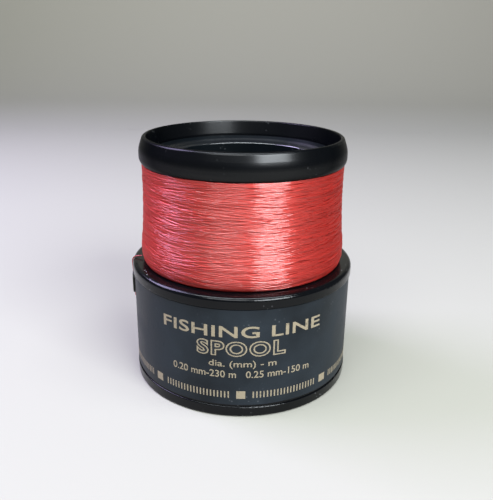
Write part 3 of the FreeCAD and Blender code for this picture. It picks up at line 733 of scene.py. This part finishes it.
# %% Lay the line
line_diameter = 0.25 * MM
turns_per_length = 56.0
climbs = (4.0, 10.5, 6.0, 15.0, 8.0, 12.5)
winding = winding_tree()
lines = []
for number, climb in enumerate(climbs):
    laid = run_tree("wound_line_%d" % (number + 1), winding, {
        "Start Turn": number * turns_per_length,
        "Turns": turns_per_length,
        "Points per Turn": 96,
        "Climb": climb * MM,
        "Rear": flange_top + 0.55 * line_diameter,
        "Front": pack_top - 0.6 * line_diameter,
        "Pack Radius": pack_radius - 0.5 * line_diameter,
        "Drum Radius": drum_radius,
        "Build Up": 0.14 * MM,
        "Line Radius": line_diameter / 2,
        "Wander": 1.6 * MM,
        "Wanders per Turn": 1.3,
        "Ridge": 0.24 * MM,
        "Ridges Round": 1.1,
        "Ridges per Metre Up": 650.0,
        "Ripple": 0.25 * MM,
        "Ripples per Turn": 8.0,
        "Material": red_line,
    })
    laid.data.shade_smooth()
    lines.append(laid)
print("wound line:", [len(piece.data.polygons) for piece in lines], "faces in each length")


# %% The turns beneath
def lathe(name, outline, segments, material):
    """A closed ring, turned about the axis from (radius, height) points that all lie off it."""
    count = len(outline)
    verts, faces = [], []
    for step in range(segments):
        turn = math.tau * step / segments
        verts.extend((r * math.cos(turn), r * math.sin(turn), z) for r, z in outline)
    for step in range(segments):
        here, there = step * count, (step + 1) % segments * count
        for i in range(count):
            j = (i + 1) % count
            faces.append((here + i, there + i, there + j, here + j))
    mesh = bpy.data.meshes.new(name)
    mesh.from_pydata(verts, [], faces)
    mesh.materials.append(material)
    shaped = bmesh.new()
    shaped.from_mesh(mesh)
    bmesh.ops.recalc_face_normals(shaped, faces=shaped.faces)
    shaped.to_mesh(mesh)
    shaped.free()
    mesh.shade_smooth()
    return new_object(name, mesh)


def core_outline():
    depth = pack_radius - drum_radius
    width = pack_top - flange_top
    sink, under_lip = 0.27 * MM, 1.4 * MM
    outline = [(drum_radius + depth * share - sink, flange_top + width * min(along, 0.99))
               for along, share in PACK_OUTLINE]
    return [(drum_radius, flange_top)] + outline + [(drum_radius, pack_top - under_lip)]


core = lathe("inner_turns", core_outline(), 128, core_red)
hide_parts("line_pack")
for piece in lines + [core]:
    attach(piece, "spool")

# %% The loose end
finish_node("line_tag_end", red_line)

# %% [markdown]
# ## The printed band
#
# The band carries four lines of print and a row of marks, all made flat and then bent round the
# band. Flat shapes are cut into narrow strips first, so that they bend smoothly. A mark repeats
# every eighth of a turn, with short ticks between, like the scale on a dial; that row is made by
# Geometry Nodes. The wording is generic.

# %% Bend print round the band
ink_thickness = 0.02 * MM


def bend_round_band(mesh, standoff):
    """Flat X becomes the distance round the band from its front, Y the height, Z the thickness."""
    for vertex in mesh.vertices:
        x, y, z = vertex.co
        turn = x / label_radius
        reach = label_radius + standoff + z
        vertex.co = (reach * math.sin(turn), -reach * math.cos(turn), y)
    mesh.update()


def slice_flat(mesh, spacing):
    """Cuts a flat shape along evenly spaced upright lines."""
    shape = bmesh.new()
    shape.from_mesh(mesh)
    xs = [vertex.co.x for vertex in shape.verts]
    cuts = int((max(xs) - min(xs)) / spacing)
    for number in range(1, cuts + 1):
        place = (min(xs) + number * spacing, 0, 0)
        parts = shape.verts[:] + shape.edges[:] + shape.faces[:]
        bmesh.ops.bisect_plane(shape, geom=parts, plane_co=place, plane_no=(1, 0, 0))
    shape.to_mesh(mesh)
    shape.free()


def print_words(name, words, material, span, low, high, weight=0.0, spread=1.0, standoff=0.0, fit=None):
    """Words that reach from one angle to the other, in degrees from the front, between two heights."""
    curve = bpy.data.curves.new(name, "FONT")
    curve.body = words
    curve.offset = weight
    curve.space_character = spread
    curve.extrude = 0.5
    curve.resolution_u = 4
    carrier = bpy.data.objects.new(name + "_flat", curve)
    bpy.context.scene.collection.objects.link(carrier)
    depsgraph = bpy.context.evaluated_depsgraph_get()
    mesh = bpy.data.meshes.new_from_object(carrier.evaluated_get(depsgraph))
    bpy.data.objects.remove(carrier)
    mesh.name = name
    mesh.materials.clear()
    mesh.materials.append(material)
    places = [vertex.co.copy() for vertex in mesh.vertices]
    box = fit or (min(v.x for v in places), max(v.x for v in places),
                  min(v.y for v in places), max(v.y for v in places))
    left, right = (math.radians(angle) * label_radius for angle in span)
    for vertex, place in zip(mesh.vertices, places):
        vertex.co = (left + (place.x - box[0]) / (box[1] - box[0]) * (right - left),
                     low + (place.y - box[2]) / (box[3] - box[2]) * (high - low),
                     (place.z + 0.5) * ink_thickness)
    slice_flat(mesh, 0.9 * MM)
    bend_round_band(mesh, standoff)
    piece = new_object(name, mesh)
    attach(piece, "spool")
    return piece, box


# %% Words on the band
print_words("title_print", "FISHING LINE", gold_ink, (-40.5, 41.0), 19.6 * MM, 22.3 * MM,
            weight=0.015, spread=1.05)
_, spool_box = print_words("spool_print_outline", "SPOOL", gold_ink, (-21.5, 21.5), 15.1 * MM, 18.8 * MM,
                           weight=0.06, spread=1.2)
print_words("spool_print_fill", "SPOOL", dark_ink, (-21.5, 21.5), 15.1 * MM, 18.8 * MM,
            weight=0.0, spread=1.2, standoff=ink_thickness, fit=spool_box)
print_words("unit_print", "dia. (mm) - m", gold_ink, (-15.5, 17.0), 12.1 * MM, 14.1 * MM, weight=0.008)
print_words("capacity_print", "0.20 mm-230 m   0.25 mm-150 m", gold_ink, (-35.0, 35.0), 9.9 * MM, 11.6 * MM,
            weight=0.008)
print("words printed on the band")


# %% The row of marks
def marks_tree():
    tree = new_geometry_tree("dial_marks", [
        ("Squares", "NodeSocketInt", 8),
        ("Square Width", "NodeSocketFloat", 0.0),
        ("Square Height", "NodeSocketFloat", 0.0),
        ("Ticks per Gap", "NodeSocketInt", 20),
        ("First Tick", "NodeSocketFloat", 0.0),
        ("Last Tick", "NodeSocketFloat", 0.0),
        ("Tick Width", "NodeSocketFloat", 0.0),
        ("Tick Height", "NodeSocketFloat", 0.0),
        ("Middle Height", "NodeSocketFloat", 0.0),
        ("Radius", "NodeSocketFloat", 0.0),
        ("Thickness", "NodeSocketFloat", 0.0),
        ("Material", "NodeSocketMaterial", None),
    ])
    put = add(tree, "NodeGroupInput").outputs
    out = add(tree, "NodeGroupOutput").inputs

    def calc(operation, first, second=None):
        return math_node(tree, operation, first, second)

    def vector(x, y, z):
        node = add(tree, "ShaderNodeCombineXYZ")
        for axis, value in zip("XYZ", (x, y, z)):
            if isinstance(value, (int, float)):
                node.inputs[axis].default_value = value
            else:
                link(tree, value, node.inputs[axis])
        return node.outputs[0]

    def row(count, angle_of, width, height):
        """Small blocks in a flat row, each at its own angle: X holds the angle times the radius."""
        points = add(tree, "GeometryNodeMeshLine")
        link(tree, count, points.inputs["Count"])
        index = add(tree, "GeometryNodeInputIndex").outputs[0]
        spread = add(tree, "GeometryNodeSetPosition")
        link(tree, points.outputs["Mesh"], spread.inputs["Geometry"])
        along = calc("MULTIPLY", angle_of(index), put["Radius"])
        link(tree, vector(along, put["Middle Height"], 0.0), spread.inputs["Position"])
        block = add(tree, "GeometryNodeMeshCube", inputs={"Vertices X": 4})
        link(tree, vector(width, height, put["Thickness"]), block.inputs["Size"])
        copies = add(tree, "GeometryNodeInstanceOnPoints")
        link(tree, spread.outputs["Geometry"], copies.inputs["Points"])
        link(tree, block.outputs["Mesh"], copies.inputs["Instance"])
        return copies.outputs["Instances"]

    pitch = calc("DIVIDE", math.tau, put["Squares"])

    def tick_angle(index):
        gap = calc("FLOOR", calc("DIVIDE", calc("ADD", index, 0.5), put["Ticks per Gap"]))
        within = calc("SUBTRACT", index, calc("MULTIPLY", gap, put["Ticks per Gap"]))
        step = calc("DIVIDE", calc("SUBTRACT", put["Last Tick"], put["First Tick"]),
                    calc("SUBTRACT", put["Ticks per Gap"], 1.0))
        return calc("ADD", calc("ADD", calc("MULTIPLY", gap, pitch), put["First Tick"]),
                    calc("MULTIPLY", within, step))

    both = add(tree, "GeometryNodeJoinGeometry")
    squares = row(put["Squares"], lambda index: calc("MULTIPLY", index, pitch),
                  put["Square Width"], put["Square Height"])
    ticks = row(calc("MULTIPLY", put["Squares"], put["Ticks per Gap"]), tick_angle,
                put["Tick Width"], put["Tick Height"])
    link(tree, squares, both.inputs["Geometry"])
    link(tree, ticks, both.inputs["Geometry"])
    whole = add(tree, "GeometryNodeRealizeInstances")
    link(tree, both.outputs["Geometry"], whole.inputs["Geometry"])

    flat = add(tree, "ShaderNodeSeparateXYZ")
    link(tree, add(tree, "GeometryNodeInputPosition").outputs[0], flat.inputs[0])
    turn = calc("DIVIDE", flat.outputs["X"], put["Radius"])
    half_thick = calc("MULTIPLY", put["Thickness"], 0.5)
    reach = calc("ADD", calc("ADD", put["Radius"], flat.outputs["Z"]), half_thick)
    bent = add(tree, "GeometryNodeSetPosition")
    link(tree, whole.outputs["Geometry"], bent.inputs["Geometry"])
    link(tree, vector(calc("MULTIPLY", reach, calc("SINE", turn)),
                      calc("MULTIPLY", calc("MULTIPLY", reach, calc("COSINE", turn)), -1.0),
                      flat.outputs["Y"]), bent.inputs["Position"])
    inked = add(tree, "GeometryNodeSetMaterial")
    link(tree, bent.outputs["Geometry"], inked.inputs["Geometry"])
    link(tree, put["Material"], inked.inputs["Material"])
    link(tree, inked.outputs["Geometry"], out["Geometry"])
    return tree


marks = run_tree("dial_marks", marks_tree(), {
    "Squares": 8,
    "Square Width": 2.0 * MM,
    "Square Height": 1.9 * MM,
    "Ticks per Gap": 20,
    "First Tick": math.radians(6.0),
    "Last Tick": math.radians(39.0),
    "Tick Width": 0.30 * MM,
    "Tick Height": 1.6 * MM,
    "Middle Height": 5.65 * MM,
    "Radius": label_radius,
    "Thickness": ink_thickness,
    "Material": gold_ink,
})
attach(marks, "spool")
print("marks:", len(marks.data.polygons), "faces")

# %% [markdown]
# ## Nicks
#
# A used spool has a few bright nicks in its black edges. Each is a thin pale fleck on the surface.

# %% Nicks in the black edges
def nick_corners(turn, reach, height, outwards, length, width, slant):
    """Corners of an oval fleck; outwards is the surface's slope, from flat to upright."""
    radial = Vector((math.sin(turn), -math.cos(turn), 0.0))
    sideways = Vector((math.cos(turn), math.sin(turn), 0.0))
    normal = radial * math.sin(outwards) + Vector((0, 0, math.cos(outwards)))
    upwards = sideways.cross(normal)
    along = sideways * math.cos(slant) + upwards * math.sin(slant)
    across = normal.cross(along)
    centre = radial * reach + Vector((0, 0, height))
    rim = [centre + along * (length / 2 * math.cos(a)) + across * (width / 2 * math.sin(a))
           for a in (math.tau * step / 8 for step in range(8))]
    return rim, normal


def nicks(name, places, material):
    thickness = 0.01 * MM
    verts, faces = [], []
    for angle, reach, height, outwards, length, width, slant in places:
        rim, normal = nick_corners(math.radians(angle), reach, height, math.radians(outwards),
                                   length * MM, width * MM, math.radians(slant))
        first = len(verts)
        verts.extend(corner - normal * thickness for corner in rim)
        verts.extend(corner + normal * thickness for corner in rim)
        faces.append([first + i for i in reversed(range(8))])
        faces.append([first + 8 + i for i in range(8)])
        for i in range(8):
            j = (i + 1) % 8
            faces.append([first + i, first + j, first + 8 + j, first + 8 + i])
    mesh = bpy.data.meshes.new(name)
    mesh.from_pydata(verts, [], faces)
    mesh.materials.append(material)
    shape = bmesh.new()
    shape.from_mesh(mesh)
    bmesh.ops.recalc_face_normals(shape, faces=shape.faces)
    shape.to_mesh(mesh)
    shape.free()
    piece = new_object(name, mesh)
    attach(piece, "spool")
    return piece


nick_pale = plain_material("nick_pale", (0.42, 0.42, 0.43), 0.5)
flange_flat = flange_radius - 1.6 * MM
# degrees from the front, radius, height, slope, then length and width in millimetres, and slant
flange_nicks = [
    (-63.0, flange_flat, flange_top, 0.0, 0.45, 0.16, 70.0),
    (-60.5, flange_flat, flange_top, 0.0, 0.30, 0.12, 10.0),
    (-57.0, flange_flat + 0.5 * MM, flange_top, 0.0, 0.42, 0.14, 50.0),
    (34.0, flange_flat, flange_top, 0.0, 0.22, 0.10, 20.0),
]
nicks("flange_nicks", flange_nicks, nick_pale)
print(len(flange_nicks), "nicks on the flange")
